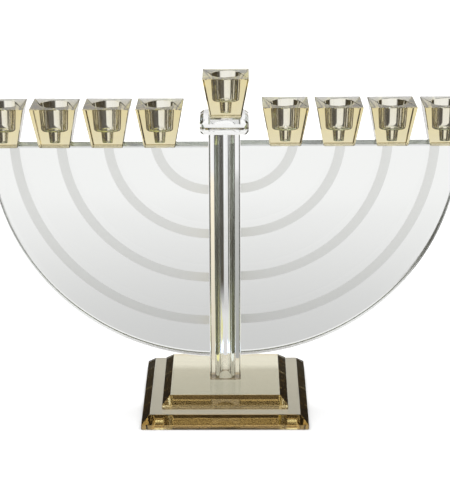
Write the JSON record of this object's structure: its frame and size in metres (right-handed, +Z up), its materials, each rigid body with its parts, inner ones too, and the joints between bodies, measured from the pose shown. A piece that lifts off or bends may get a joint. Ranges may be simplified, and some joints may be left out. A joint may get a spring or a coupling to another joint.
{
  "type": "menorah",
  "caption": "Bonded crystal Hanukkah lamp: stepped square base, bored square column, half-round glass wings with frosted arcs, a row of tapered cups and a raised centre cup.",
  "frame": {"origin": "centre of the base underside, at the middle of the bounding box bottom", "axes": "+X along the branches to the right, -Y towards the front, +Z up"},
  "size_m": [0.38, 0.132, 0.2704],
  "materials": {
    "base_crystal": "polished smoke-amber crystal with bevelled edges",
    "clear_crystal": "polished clear crystal",
    "plate_glass": "clear plate glass, ground edges, frosted arcs on the faces",
    "cup_crystal": "polished champagne crystal with satin bores"
  },
  "bodies": {
    "root": {"base_lower_tier": "base_crystal", "base_upper_tier": "base_crystal", "column": "clear_crystal", "left_wing": "plate_glass", "right_wing": "plate_glass", "shamash_block": "clear_crystal", "left_cup_1": "cup_crystal", "left_cup_2": "cup_crystal", "left_cup_3": "cup_crystal", "left_cup_4": "cup_crystal", "right_cup_1": "cup_crystal", "right_cup_2": "cup_crystal", "right_cup_3": "cup_crystal", "right_cup_4": "cup_crystal", "shamash_cup": "cup_crystal"}
  },
  "joints": []
}
